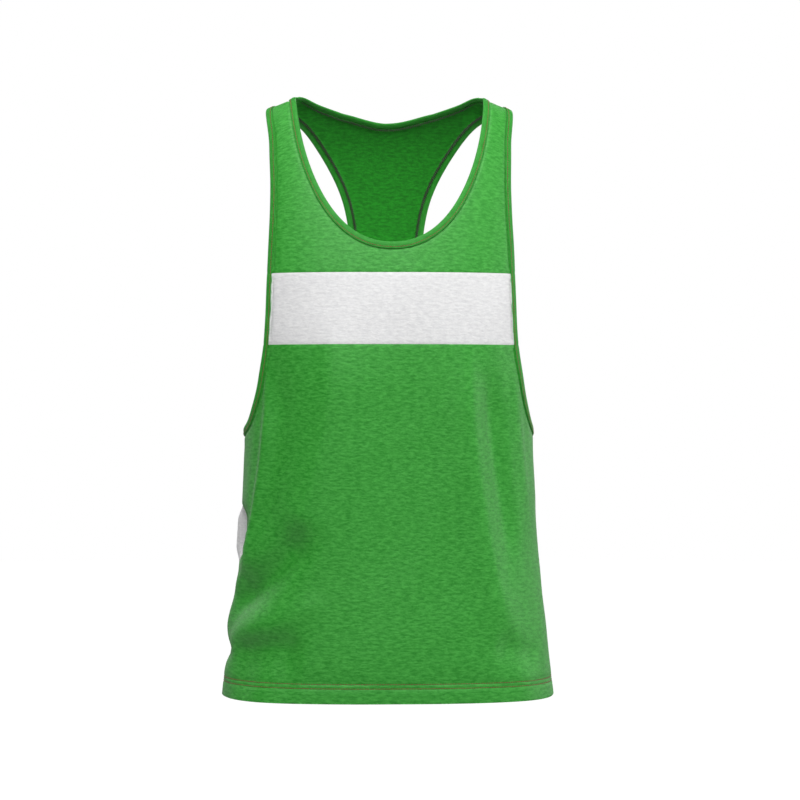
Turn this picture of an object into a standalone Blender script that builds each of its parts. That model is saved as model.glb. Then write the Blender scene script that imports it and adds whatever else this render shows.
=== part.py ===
"""Racerback training vest in heather jersey, filled out and hollow, as it is when worn.

Sizes are in millimetres and become metres when a mesh is made. X runs to the viewer's right, Y away from
the viewer, who faces the chest, and Z up. The origin lies midway between the two shoulder straps, level
with the ends of the neck edge, where the wearer's shoulders carry the vest.

The cloth is drawn on a flat pattern and laid over a form. A spot on the pattern has two measures: "across",
the distance round the form from the centre line, plus to the viewer's right, and "along", the distance down
the cloth from the ridge of the shoulders, plus down the front and minus down the back.
"""
import math

import bmesh
import bpy
import numpy as np
from mathutils.geometry import delaunay_2d_cdt

METRES = 0.001

# --- driving dimensions -------------------------------------------------------------------------------

CLOTH = 1.2                # thickness of the jersey wall
HEM_WALL = 2.2             # the turned-up hem is double
HEM_DEPTH = 24.0           # height of the turned-up hem
SEAM_GAP = 0.3             # space between neighbouring pieces
BINDING_GAP = 0.4          # space between a binding and the cloth beside it
BODY_LENGTH = 758.0        # along the cloth, from shoulder ridge to hem
SHOULDER_SEAM = -8.0       # along: the shoulder seams lie just behind the ridge

NECK_HALF = 112.0          # half width of the neck at the shoulder ridge
NECK_FRONT = 222.0         # depth of the front neck, along
NECK_BACK = 60.0           # depth of the back neck, along
NECK_FRONT_POWER = 2.2     # a little fuller than an ellipse
NECK_BACK_POWER = 1.38     # close to a soft V

CHEST_BAND_TOP = 258.0
CHEST_BAND_FOOT = 341.0
BACK_BAND_TOP = -532.0
BACK_BAND_FOOT = -618.0

BINDING_WIDTH = 8.4
BINDING_PROUD = 0.8        # how far the folded binding stands above the cloth
BINDING_BACK = 2.0         # how far its inner layer lies below the cloth's outer face
BINDING_ROUND = 0.9        # softened fold at its outer edge

SHOULDER_SLOPE = 0.41      # fall of the straps away from the neck, for each unit of width
SLOPE_START = 108.0        # half width at which the fall begins
SLOPE_SOFTNESS = 12.0
SLOPE_FADE_TOP = 60.0      # along, where the fall starts to fade into the chest
SLOPE_FADE_FOOT = 260.0

RING_POWER = 2.6           # squareness of the body's rings
PATTERN_HALF = 175.0       # half width and depth of the ring that "across" is measured on
PATTERN_DEPTH = 108.0

# Rings of the form, from the shoulder ridge down to the hem.
# distance along, drop below the ridge, half width, depth of the front, depth of the back, set-back of the side
FORM = np.array((
    (0.0, 0.0, 160.0, 0.0, 0.0, 0.0),
    (20.0, 3.5, 161.0, 19.0, 19.5, 0.0),
    (40.0, 13.0, 162.0, 36.0, 38.0, 0.0),
    (60.0, 27.0, 163.0, 50.0, 54.0, 0.0),
    (80.0, 44.0, 164.0, 61.0, 68.0, 0.0),
    (100.0, 62.0, 165.0, 70.0, 79.0, 0.0),
    (150.0, 109.0, 167.0, 88.0, 97.0, 0.0),
    (200.0, 158.4, 168.5, 101.0, 107.0, 0.0),
    (250.0, 208.0, 170.0, 110.0, 111.0, 0.0),
    (300.0, 258.4, 171.0, 115.0, 111.0, 0.0),
    (370.0, 328.4, 171.5, 115.0, 107.0, 2.0),
    (440.0, 398.4, 172.0, 111.0, 101.0, 4.0),
    (520.0, 478.4, 175.5, 107.0, 97.0, 5.0),
    (600.0, 558.4, 180.0, 105.0, 98.0, 5.0),
    (680.0, 638.4, 189.0, 107.0, 103.0, 5.0),
    (758.0, 716.4, 197.2, 111.2, 108.2, 5.0),
))
DROP, HALF, FRONT, BACK, SIDE = range(1, 6)

# The armhole's finished edge, from under the arm up the front, over the ridge and down the back.
# out from the centre line, along
ARMHOLE = (
    (168.5, 433.0),
    (162.5, 412.0),
    (156.0, 382.0),
    (149.0, 330.0),
    (144.5, 235.0),
    (142.0, 150.0),
    (143.5, 87.0),
    (145.5, 0.0),
    (97.0, -78.0),
    (69.0, -125.0),
    (53.0, -165.0),
    (45.5, -212.0),
    (47.0, -256.0),
    (62.0, -306.0),
    (88.0, -350.0),
    (120.0, -386.0),
    (150.0, -414.0),
    (167.0, -432.0),
)
ARMHOLE_BASE = 441.0       # along, where the edge crosses the side seam

# Levels at which the two side seams are shared by the front and the back, along
SEAM_ROWS = (464.0, 478.0, 492.0, 506.0, 520.0, 532.0, 547.0, 562.0, 576.0, 590.0, 604.0, 618.0, 633.0, 648.0,
             664.0, 680.0, 696.0, 712.0, 732.0)

# The largest folds, each through three spots of the pattern, raised (+) or sunk (-) by its height.
# across and along of its top, its middle and its foot, then half width and height
FOLDS = (
    (-156.0, 375.0, -174.0, 515.0, -228.0, 690.0, 15.0, 5.5),
    (-196.0, 605.0, -220.0, 650.0, -245.0, 705.0, 14.0, 6.0),
    (-165.0, 330.0, -200.0, 400.0, -226.0, 465.0, 20.0, 2.5),
    (-112.0, 245.0, -124.0, 460.0, -165.0, 665.0, 27.0, -6.0),
    (-95.0, 595.0, -160.0, 655.0, -290.0, 700.0, 15.0, 6.5),
    (-70.0, 668.0, -127.0, 682.0, -195.0, 712.0, 15.0, -6.0),
    (-196.0, 704.0, -230.0, 703.0, -264.0, 702.0, 10.0, -5.0),
    (-205.0, 705.0, -228.0, 752.0, -240.0, 820.0, 18.0, 3.0),
    (-236.0, 518.0, -236.0, 574.0, -236.0, 630.0, 16.0, -12.0),
    (-266.0, 430.0, -266.0, 530.0, -264.0, 625.0, 20.0, 7.0),
    (94.0, 320.0, 114.0, 500.0, 150.0, 660.0, 16.0, 4.5),
    (122.0, 575.0, 154.0, 666.0, 182.0, 790.0, 16.0, 4.0),
    (124.0, 355.0, 139.0, 453.0, 152.0, 590.0, 14.0, -4.0),
    (88.0, 686.0, 130.0, 697.0, 172.0, 712.0, 15.0, -4.5),
    (236.0, 520.0, 236.0, 566.0, 236.0, 612.0, 14.0, -7.0),
    (-168.0, -455.0, -150.0, -570.0, -175.0, -700.0, 20.0, 5.5),
    (-110.0, -430.0, -104.0, -600.0, -122.0, -790.0, 24.0, -5.5),
    (20.0, -330.0, 6.0, -470.0, 24.0, -620.0, 19.0, 4.0),
    (96.0, -420.0, 112.0, -560.0, 98.0, -720.0, 22.0, -5.0),
    (150.0, -470.0, 158.0, -590.0, 136.0, -790.0, 18.0, 5.0),
)

LATTICE = 15.5             # spacing of the spots that carry a panel's shape
RIM_STEP = 14.0            # spacing along straight rims
NECK_STEP = 6.8            # spacing of the sections of the bindings
ARMHOLE_STEP = 11.5
RIM_CLEARANCE = 8.0        # lattice spots closer to a rim than this are left out

GREEN = (0.045, 0.296, 0.042)
WHITE = (0.80, 0.80, 0.81)

# --- the form -----------------------------------------------------------------------------------------


def smooth_step(low, high, value):
    """Soft change from 0 at low to 1 at high."""
    part = np.clip((value - low) / (high - low), 0.0, 1.0)
    return part * part * (3.0 - 2.0 * part)


def read_form(column, along):
    """One column of the form's table at any place along the cloth, on a smooth curve through its rows."""
    places = FORM[:, 0]
    values = FORM[:, column]
    slopes = np.gradient(values, places)
    if column == DROP:
        slopes[0] = 0.0            # the cloth lies level on the ridge
    distance = np.abs(along)
    row = np.clip(np.searchsorted(places, distance) - 1, 0, len(places) - 2)
    gap = places[row + 1] - places[row]
    part = (distance - places[row]) / gap
    rest = 1.0 - part
    start = (1.0 + 2.0 * part) * rest**2 * values[row] + part * rest**2 * gap * slopes[row]
    end = (3.0 - 2.0 * part) * part**2 * values[row + 1] - rest * part**2 * gap * slopes[row + 1]
    return start + end


def ring_reach(turn):
    """How far the rounded-square ring reaches at an angle, for a half width and a depth of 1."""
    total = np.abs(np.sin(turn))**RING_POWER + np.abs(np.cos(turn))**RING_POWER
    return total**(-1.0 / RING_POWER)


TURNS = np.linspace(0.0, math.pi, 721)
PATTERN_X = PATTERN_HALF * ring_reach(TURNS) * np.sin(TURNS)
PATTERN_Y = PATTERN_DEPTH * ring_reach(TURNS) * np.cos(TURNS)
GIRTHS = np.append(0.0, np.cumsum(np.hypot(np.diff(PATTERN_X), np.diff(PATTERN_Y))))
HALF_GIRTH = GIRTHS[-1]
SIDE_SEAM = HALF_GIRTH / 2.0


def form_points(across, along):
    """Spots of the pattern laid over the smooth form, as an array of x, y, z."""
    turn = np.interp(np.abs(across), GIRTHS, TURNS)
    reach = ring_reach(turn)
    x = np.sign(across) * read_form(HALF, along) * reach * np.sin(turn)
    forward = np.where(along < 0.0, -1.0, 1.0) * reach * np.cos(turn)
    side = read_form(SIDE, along)
    depth = np.where(forward > 0.0, read_form(FRONT, along) + side, read_form(BACK, along) - side)
    y = side - depth * forward
    past = np.abs(x) - SLOPE_START
    ramp = SHOULDER_SLOPE * (past + np.hypot(past, SLOPE_SOFTNESS)) / 2.0
    z = -read_form(DROP, along) - ramp * (1.0 - smooth_step(SLOPE_FADE_TOP, SLOPE_FADE_FOOT, np.abs(along)))
    return np.stack((x, y, z), axis=-1)


def slopes_of(points, across, along):
    """How a surface runs for each unit across and along."""
    step = 1.5
    round_form = (points(across + step, along) - points(across - step, along)) / (2.0 * step)
    down_form = (points(across, along + step) - points(across, along - step)) / (2.0 * step)
    return round_form, down_form


def normals_of(points, across, along):
    """Outward directions of a surface that is given as a function of across and along."""
    round_form, down_form = slopes_of(points, across, along)
    normal = np.cross(down_form, round_form)
    return normal / np.linalg.norm(normal, axis=-1, keepdims=True)


def other_face(across, along):
    """The same spot measured from the other face's centre line, round the side."""
    return np.sign(across) * (HALF_GIRTH - np.abs(across)), -along


def fold_height(across, along):
    """Sum of the folds at spots of the pattern."""
    total = np.zeros(np.shape(across))
    share = np.linspace(0.0, 1.0, 41)
    rest = 1.0 - share
    for top_a, top_l, mid_a, mid_l, foot_a, foot_l, width, height in FOLDS:
        pull_a = 2.0 * mid_a - (top_a + foot_a) / 2.0
        pull_l = 2.0 * mid_l - (top_l + foot_l) / 2.0
        line_a = rest**2 * top_a + 2.0 * share * rest * pull_a + share**2 * foot_a
        line_l = rest**2 * top_l + 2.0 * share * rest * pull_l + share**2 * foot_l
        for spot_a, spot_l in ((across, along), other_face(across, along)):
            distance = np.hypot(np.subtract.outer(spot_a, line_a), np.subtract.outer(spot_l, line_l))
            nearest = share[np.argmin(distance, axis=-1)]
            fade = smooth_step(0.0, 0.3, nearest) * smooth_step(0.0, 0.3, 1.0 - nearest)
            total = total + height * fade * np.exp(-(np.min(distance, axis=-1) / width)**2)
    return total


def cloth_points(across, along):
    """Spots of the pattern on the outer face of the cloth, with its folds."""
    lift = fold_height(across, along)
    return form_points(across, along) + normals_of(form_points, across, along) * lift[..., None]


def cloth_normals(across, along):
    return normals_of(cloth_points, across, along)


# --- edges on the pattern -----------------------------------------------------------------------------


def across_at(out, along):
    """Pattern measure of a spot that lies "out" from the centre line in space."""
    share = np.clip(out / read_form(HALF, along), 0.0, 1.0)
    forward = (1.0 - share**RING_POWER)**(1.0 / RING_POWER)
    return np.interp(np.arctan2(share, forward), TURNS, GIRTHS)


def line_lengths(line):
    return np.append(0.0, np.cumsum(np.linalg.norm(np.diff(line, axis=0), axis=1)))


def walk(line, places):
    """Spots of a line at shares of its length."""
    lengths = line_lengths(line)
    return np.stack([np.interp(places * lengths[-1], lengths, line[:, k]) for k in range(2)], axis=1)


def even_curve(spots, spacing):
    """Smooth curve through spots, read at even spacing. The first and the last spot only guide it."""
    spots = np.asarray(spots)
    share = np.linspace(0.0, 1.0, 12, endpoint=False)[:, None]
    rest = 1.0 - share
    pieces = []
    for before, start, end, after in zip(spots, spots[1:], spots[2:], spots[3:]):
        chord = np.linalg.norm(end - start)
        lead = (end - before) / (np.linalg.norm(start - before) + chord) * chord
        tail = (after - start) / (np.linalg.norm(after - end) + chord) * chord
        curve = (1.0 + 2.0 * share) * rest**2 * start + share * rest**2 * lead
        pieces.append(curve + (3.0 - 2.0 * share) * share**2 * end - rest * share**2 * tail)
    line = np.vstack(pieces + [spots[-2:-1]])
    count = max(2, round(line_lengths(line)[-1] / spacing))
    return walk(line, np.linspace(0.0, 1.0, count + 1))


def neck_curve():
    """One side of the neck edge, from the centre front over the ridge to the centre back."""
    turn = np.linspace(0.0, math.pi / 2.0, 19)[1:-1]
    halves = []
    for depth, power in ((NECK_FRONT, NECK_FRONT_POWER), (NECK_BACK, NECK_BACK_POWER)):
        out = NECK_HALF * np.cos(turn)**(2.0 / power)
        along = depth * np.sin(turn)**(2.0 / power)
        halves.append(np.stack((across_at(out, along), along), axis=1))
    front, back = halves
    front = front[::-1]
    back = back * np.array((1.0, -1.0))
    mirror = np.array((-1.0, 1.0))
    ridge = (float(across_at(NECK_HALF, 0.0)), 0.0)
    spots = [front[0] * mirror, (0.0, NECK_FRONT), *front, ridge, *back, (0.0, -NECK_BACK), back[-1] * mirror]
    return even_curve(spots, NECK_STEP)


def armhole_curve():
    """The armhole edge, from the side seam up the front, over the ridge and down the back to the side seam."""
    spots = [(float(across_at(out, along)), along) for out, along in ARMHOLE]
    first, last = spots[0], spots[-1]
    before = (HALF_GIRTH - last[0], -last[1])
    after = (HALF_GIRTH - first[0], -first[1])
    spots = [before, (SIDE_SEAM, ARMHOLE_BASE), *spots, (SIDE_SEAM, -ARMHOLE_BASE), after]
    return even_curve(spots, ARMHOLE_STEP)


def closed_edge(spots, inward_sign):
    """Points, outward directions and directions into the panel, round a closed finished edge."""
    points = cloth_points(spots[:, 0], spots[:, 1])
    normals = cloth_normals(spots[:, 0], spots[:, 1])
    ahead = np.roll(points, -1, axis=0) - np.roll(points, 1, axis=0)
    inward = np.cross(normals, ahead) * np.reshape(inward_sign, (-1, 1))
    inward = inward / np.linalg.norm(inward, axis=1, keepdims=True)
    return points, normals, inward


def panel_line(spots, points, inward):
    """Where the cloth of the panel starts, beside the binding on a finished edge."""
    target = points + inward * (BINDING_WIDTH + BINDING_GAP)
    for _ in range(3):
        pull = target - cloth_points(spots[:, 0], spots[:, 1])
        round_form, down_form = slopes_of(cloth_points, spots[:, 0], spots[:, 1])
        rr = np.sum(round_form**2, axis=1)
        dd = np.sum(down_form**2, axis=1)
        rd = np.sum(round_form * down_form, axis=1)
        pull_r = np.sum(pull * round_form, axis=1)
        pull_d = np.sum(pull * down_form, axis=1)
        shift = np.stack((pull_r * dd - pull_d * rd, pull_d * rr - pull_r * rd), axis=1)
        spots = spots + shift / (rr * dd - rd**2)[:, None]
    return spots


# --- meshes -------------------------------------------------------------------------------------------


def make_object(name, points, faces, material):
    mesh = bpy.data.meshes.new(name)
    mesh.from_pydata([tuple(point) for point in np.asarray(points) * METRES], [], faces)
    shell = bmesh.new()
    shell.from_mesh(mesh)
    bmesh.ops.recalc_face_normals(shell, faces=shell.faces)
    shell.to_mesh(mesh)
    shell.free()
    mesh.shade_smooth()
    mesh.set_sharp_from_angle(angle=math.radians(40.0))
    mesh.materials.append(material)
    piece = bpy.data.objects.new(name, mesh)
    bpy.context.collection.objects.link(piece)
    return piece


def fabric(name, colour):
    material = bpy.data.materials.new(name)
    material.use_nodes = True
    shader = material.node_tree.nodes["Principled BSDF"]
    shader.inputs["Base Color"].default_value = (*colour, 1.0)
    shader.inputs["Roughness"].default_value = 0.9
    shader.inputs["Metallic"].default_value = 0.0
    return material


def wall_thickness(along):
    """Single cloth, and double in the turned-up hem."""
    hem_top = BODY_LENGTH - HEM_DEPTH
    return CLOTH + (HEM_WALL - CLOTH) * smooth_step(hem_top - 2.0, hem_top + 2.0, np.abs(along))


def fill_outline(outline):
    """Triangles over an outline on the pattern, with inner spots on an even lattice."""
    low, high = outline.min(axis=0), outline.max(axis=0)
    rows = np.arange(low[1], high[1], LATTICE * math.sqrt(0.75))
    columns = np.arange(low[0], high[0], LATTICE)
    across = columns[None, :] + (np.arange(len(rows)) % 2)[:, None] * LATTICE / 2.0
    spots = np.stack(np.broadcast_arrays(across, rows[:, None]), axis=-1).reshape(-1, 1, 2)
    starts, ends = outline, np.roll(outline, -1, axis=0)
    sides = ends - starts
    share = np.sum((spots - starts) * sides, axis=2) / np.sum(sides**2, axis=1)
    feet = starts + sides * np.clip(share, 0.0, 1.0)[:, :, None]
    clear = np.linalg.norm(spots - feet, axis=2).min(axis=1) > RIM_CLEARANCE
    passes = (starts[:, 1] > spots[:, :, 1]) != (ends[:, 1] > spots[:, :, 1])
    rise = np.where(sides[:, 1] == 0.0, 1.0, sides[:, 1])
    crossing = starts[:, 0] + (spots[:, :, 1] - starts[:, 1]) * sides[:, 0] / rise
    inside = np.sum(passes & (spots[:, :, 0] < crossing), axis=1) % 2 == 1
    chosen = np.vstack((outline, spots[clear & inside, 0]))
    rim = [(k, (k + 1) % len(outline)) for k in range(len(outline))]
    inside_rim_only = 1
    filled = delaunay_2d_cdt(chosen.tolist(), rim, [], inside_rim_only, 0.001)
    return np.array([tuple(spot) for spot in filled[0]]), [list(face) for face in filled[2]]


def make_panel(name, outline, colour):
    """A cloth wall over an outline on the pattern."""
    spots, triangles = fill_outline(outline)
    outer = cloth_points(spots[:, 0], spots[:, 1])
    inner = outer - cloth_normals(spots[:, 0], spots[:, 1]) * wall_thickness(spots[:, 1])[:, None]
    count = len(spots)
    sides = [(face[k], face[(k + 1) % 3]) for face in triangles for k in range(3)]
    known = set(sides)
    rims = [side for side in sides if side[::-1] not in known]
    faces = triangles + [[corner + count for corner in reversed(face)] for face in triangles]
    faces += [[end, start, start + count, end + count] for start, end in rims]
    return make_object(name, np.vstack((outer, inner)), faces, fabric(name + "_cloth", colour))


def make_binding(name, edge, colour):
    """A folded strip swept along a finished edge, rounded outside and square where it meets the panel."""
    points, normals, inward = edge
    section = (
        (0.0, -BINDING_ROUND),
        (BINDING_ROUND, BINDING_PROUD),
        (BINDING_WIDTH, BINDING_PROUD),
        (BINDING_WIDTH, -BINDING_BACK),
        (BINDING_ROUND, -BINDING_BACK),
    )
    rings = np.stack([points + inward * width + normals * height for width, height in section], axis=1)
    count, sides = rings.shape[:2]
    faces = []
    for ring, side in np.ndindex(count, sides):
        after = (ring + 1) % count
        beside = (side + 1) % sides
        faces.append([ring * sides + side, ring * sides + beside, after * sides + beside, after * sides + side])
    return make_object(name, rings.reshape(-1, 3), faces, fabric(name + "_cloth", colour))


# --- the pieces ---------------------------------------------------------------------------------------


def place_of(line, column, value):
    """Where a line first passes a value in one of its columns, counted in spots from its start."""
    away = line[:, column] - value
    spot = np.nonzero(away[:-1] * away[1:] <= 0.0)[0][0]
    return spot + away[spot] / (away[spot] - away[spot + 1])


def stretch(line, start, end):
    """The part of a line between two places that are counted in spots."""
    numbers = np.arange(len(line))
    ends = [[np.interp(place, numbers, line[:, k]) for k in range(2)] for place in (start, end)]
    inside = line[(numbers > start + 0.05) & (numbers < end - 0.05)]
    return np.vstack((ends[:1], inside, ends[1:]))


def straight(start, end):
    steps = max(1, round(np.linalg.norm(np.subtract(end, start)) / RIM_STEP))
    return np.linspace(start, end, steps + 1)


def joined(*lines):
    """One closed outline from lines that follow each other end to end."""
    return np.vstack([line[:-1] for line in lines])


def mirrored(line):
    return line[::-1] * np.array((-1.0, 1.0))


def side_line(arm, top, foot):
    """Side edge of a piece that runs from side to side: down the armhole, then down the side seam."""
    seam = SIDE_SEAM - SEAM_GAP / 2.0
    under_arm = place_of(arm, 0, seam)
    base = np.interp(under_arm, np.arange(len(arm)), arm[:, 1])
    parts = []
    if abs(top) < abs(base):
        lower = max(under_arm, place_of(arm, 1, foot) if abs(foot) < abs(base) else 0.0)
        parts.append(stretch(arm, lower, place_of(arm, 1, top))[::-1])
    if abs(foot) > abs(base):
        start = max(abs(top), abs(base))
        rows = [row for row in SEAM_ROWS if start + 2.0 < row < abs(foot) - 2.0]
        rows = np.array([start, *rows, abs(foot)]) * np.sign(foot)
        parts.append(np.stack((np.full(len(rows), seam), rows), axis=1)[len(parts):])
    return np.vstack(parts)


def full_width_outline(arms, top, foot):
    """Outline of a piece that runs from side to side between two levels."""
    right = side_line(arms[1], top, foot)
    left = mirrored(side_line(arms[-1], top, foot))
    return joined(right, straight(right[-1], left[0]), left, straight(left[-1], right[0]))


def yoke_outline(necks, arms, foot, seam):
    """Outline of a piece with the neck, both shoulder seams, the armholes and a level foot."""
    halves = []
    for side in (1, -1):
        neck = stretch(necks[side], 0.0, place_of(necks[side], 1, seam))
        arm = side_line(arms[side], seam, foot)
        halves.append(np.vstack((joined(neck, straight(neck[-1], arm[0])), arm)))
    right, left = halves
    left = mirrored(left)
    return joined(right, straight(right[-1], left[0]), left)


def neck_edge():
    """The closed neck edge, and where the cloth starts beside it on each side, from front to back."""
    half = neck_curve()
    mirror = np.array((-1.0, 1.0))
    spots = np.vstack((half, half[1:-1][::-1] * mirror))
    edge = closed_edge(spots, -1.0)
    line = panel_line(spots, edge[0], edge[2])
    numbers = np.arange(len(half))
    lines = {}
    for side in (1, -1):
        lines[side] = line[numbers * side % len(spots)] * np.array((side, 1.0))
        lines[side][[0, -1], 0] = 0.0
    return edge, lines


def armhole_edge(side):
    """One closed armhole edge, and where the cloth starts beside it, from the side seam to the side seam."""
    spots = armhole_curve() * np.array((side, 1.0))
    edge = closed_edge(spots[:-1], side)
    points = np.vstack((edge[0], edge[0][:1]))
    inward = np.vstack((edge[2], edge[2][:1]))
    return edge, panel_line(spots, points, inward) * np.array((side, 1.0))


def main():
    for old in list(bpy.data.objects):
        bpy.data.objects.remove(old, do_unlink=True)

    neck, neck_lines = neck_edge()
    armholes = {side: armhole_edge(side) for side in (1, -1)}
    front_arms = {side: line for side, (_, line) in armholes.items()}
    back_arms = {side: line[::-1] for side, line in front_arms.items()}
    half_gap = SEAM_GAP / 2.0

    def front_outline(top, foot):
        return full_width_outline(front_arms, top + half_gap, foot - half_gap)

    def back_outline(top, foot):
        return full_width_outline(back_arms, top - half_gap, foot + half_gap)

    yoke = yoke_outline(neck_lines, front_arms, CHEST_BAND_TOP - half_gap, SHOULDER_SEAM + half_gap)
    make_panel("front_yoke", yoke, GREEN)
    make_panel("chest_band", front_outline(CHEST_BAND_TOP, CHEST_BAND_FOOT), WHITE)
    make_panel("front_body", front_outline(CHEST_BAND_FOOT, BODY_LENGTH + half_gap), GREEN)

    back_necks = {side: line[::-1] for side, line in neck_lines.items()}
    yoke = yoke_outline(back_necks, back_arms, BACK_BAND_TOP + half_gap, SHOULDER_SEAM - half_gap)
    make_panel("back_yoke", yoke, GREEN)
    make_panel("back_band", back_outline(BACK_BAND_TOP, BACK_BAND_FOOT), WHITE)
    make_panel("back_body", back_outline(BACK_BAND_FOOT, -BODY_LENGTH - half_gap), GREEN)

    make_binding("neck_binding", neck, GREEN)
    make_binding("armhole_binding_right", armholes[1][0], GREEN)
    make_binding("armhole_binding_left", armholes[-1][0], GREEN)


if __name__ == "__main__":
    main()
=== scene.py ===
"""Looks of the racerback training vest: thin jersey panels with their folds, bound edges, seams and topstitching.

Sizes are in millimetres and become metres when a mesh is made. The frame is the solids': X to the viewer's right,
Y away from the viewer, who faces the chest, Z up, and the origin midway between the shoulder straps.

The cloth is drawn on a flat pattern and laid over the same form as the solids. A spot on the pattern has two
measures: "across", the distance round the form from the centre line, plus to the viewer's right, and "along", the
distance down the cloth from the ridge of the shoulders, plus down the front and minus down the back.
"""

import math

import bmesh
import bpy
import numpy as np
from mathutils import Matrix, Vector
from mathutils.geometry import delaunay_2d_cdt


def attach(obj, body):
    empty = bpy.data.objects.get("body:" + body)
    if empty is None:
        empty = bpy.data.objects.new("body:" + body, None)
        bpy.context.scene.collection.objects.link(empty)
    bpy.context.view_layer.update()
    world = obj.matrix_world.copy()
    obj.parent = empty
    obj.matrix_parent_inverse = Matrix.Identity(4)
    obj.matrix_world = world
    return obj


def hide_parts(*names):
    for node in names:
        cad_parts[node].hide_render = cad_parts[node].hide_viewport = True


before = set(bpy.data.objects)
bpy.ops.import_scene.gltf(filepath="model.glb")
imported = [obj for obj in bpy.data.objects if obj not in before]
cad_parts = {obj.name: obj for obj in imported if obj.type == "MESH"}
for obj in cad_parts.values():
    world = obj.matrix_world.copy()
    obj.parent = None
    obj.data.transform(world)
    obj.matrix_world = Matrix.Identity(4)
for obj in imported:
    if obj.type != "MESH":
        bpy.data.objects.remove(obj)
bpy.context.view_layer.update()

METRES = 0.001

# --- camera, as the photograph was taken --------------------------------------------------------------

CAMERA_DISTANCE = 3.0
CAMERA_HEIGHT = -0.364
CAMERA_SIDESTEP = 0.013    # to its own right, which puts the vest a little left of the middle
CAMERA_TURN = math.radians(2.3)
LENS = 112.5
SENSOR = 36.0
FLOOR_LEVEL = -1.45
FLOOR_RADIUS = 14.0
SURROUND_LIGHT = 0.05
FLOOR_GLOW = 0.16
SOFTBOX_SIZE = 1.5
SOFTBOX_DISTANCE = 2.8

# name, degrees round from the front (plus to the viewer's right), degrees up, power in watts
SOFTBOXES = (
    ("key_softbox", -6.0, 42.0, 92.0),
    ("top_softbox", 0.0, 88.0, 28.0),
    ("right_softbox", 85.0, 10.0, 40.0),
    ("back_right_softbox", 145.0, 20.0, 26.0),
    ("back_left_softbox", -125.0, 25.0, 22.0),
)

# --- driving dimensions -------------------------------------------------------------------------------

CLOTH = 0.9                # thickness of the jersey
HEM_WALL = 2.0             # the turned-up hem is double, with a soft fold
HEM_DEPTH = 24.0
HEM_STITCHES = (18.0, 23.0)    # heights of the twin rows above the fold
BODY_LENGTH = 758.0        # along the cloth, from shoulder ridge to hem
SHOULDER_SEAM = -8.0
SEAM_GAP = 0.1

NECK_HALF = 112.0
NECK_FRONT = 222.0
NECK_BACK = 59.0
NECK_FRONT_POWER = 2.2
NECK_BACK_POWER = 1.47

CHEST_BAND_TOP = 258.0
CHEST_BAND_FOOT = 341.0
BACK_BAND_TOP = -532.0
BACK_BAND_FOOT = -618.0

BINDING_WIDTH = 8.4
BINDING_STITCH = 6.4       # the topstitch, from the outer edge of the binding
BINDING_TUCK = 3.0         # how near the panel's raw edge comes to the fold inside the binding

SHOULDER_SLOPE = 0.41
SLOPE_START = 108.0
SLOPE_SOFTNESS = 12.0
SLOPE_FADE_TOP = 60.0
SLOPE_FADE_FOOT = 260.0

RING_POWER = 2.6
PATTERN_HALF = 175.0
PATTERN_DEPTH = 108.0

# Rings of the form, from the shoulder ridge down to the hem.
# distance along, drop below the ridge, half width, depth of the front, depth of the back, set-back of the side
FORM = np.array((
    (0.0, 0.0, 160.0, 0.0, 0.0, 0.0),
    (20.0, 3.5, 161.0, 19.0, 19.5, 0.0),
    (40.0, 13.0, 162.0, 36.0, 38.0, 0.0),
    (60.0, 27.0, 163.0, 50.0, 54.0, 0.0),
    (80.0, 44.0, 164.0, 61.0, 68.0, 0.0),
    (100.0, 62.0, 165.0, 70.0, 79.0, 0.0),
    (150.0, 109.0, 167.0, 88.0, 97.0, 0.0),
    (200.0, 158.4, 168.5, 101.0, 107.0, 0.0),
    (250.0, 208.0, 170.0, 110.0, 111.0, 0.0),
    (300.0, 258.4, 171.0, 115.0, 111.0, 0.0),
    (370.0, 328.4, 171.5, 115.0, 107.0, 2.0),
    (440.0, 398.4, 172.0, 111.0, 101.0, 4.0),
    (520.0, 478.4, 175.5, 107.0, 97.0, 5.0),
    (600.0, 558.4, 180.0, 105.0, 98.0, 5.0),
    (680.0, 638.4, 189.0, 107.0, 103.0, 5.0),
    (758.0, 716.4, 197.2, 111.2, 108.2, 5.0),
))
DROP, HALF, FRONT, BACK, SIDE = range(1, 6)

# The armhole's finished edge, from under the arm up the front, over the ridge and down the back.
# out from the centre line, along
ARMHOLE = (
    (168.5, 433.0),
    (162.5, 412.0),
    (156.0, 382.0),
    (149.0, 330.0),
    (144.5, 235.0),
    (142.0, 150.0),
    (143.5, 87.0),
    (145.5, 0.0),
    (97.0, -78.0),
    (69.0, -125.0),
    (53.0, -165.0),
    (45.5, -212.0),
    (47.0, -256.0),
    (62.0, -306.0),
    (88.0, -350.0),
    (120.0, -386.0),
    (150.0, -414.0),
    (167.0, -432.0),
)
ARMHOLE_BASE = 441.0

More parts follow.
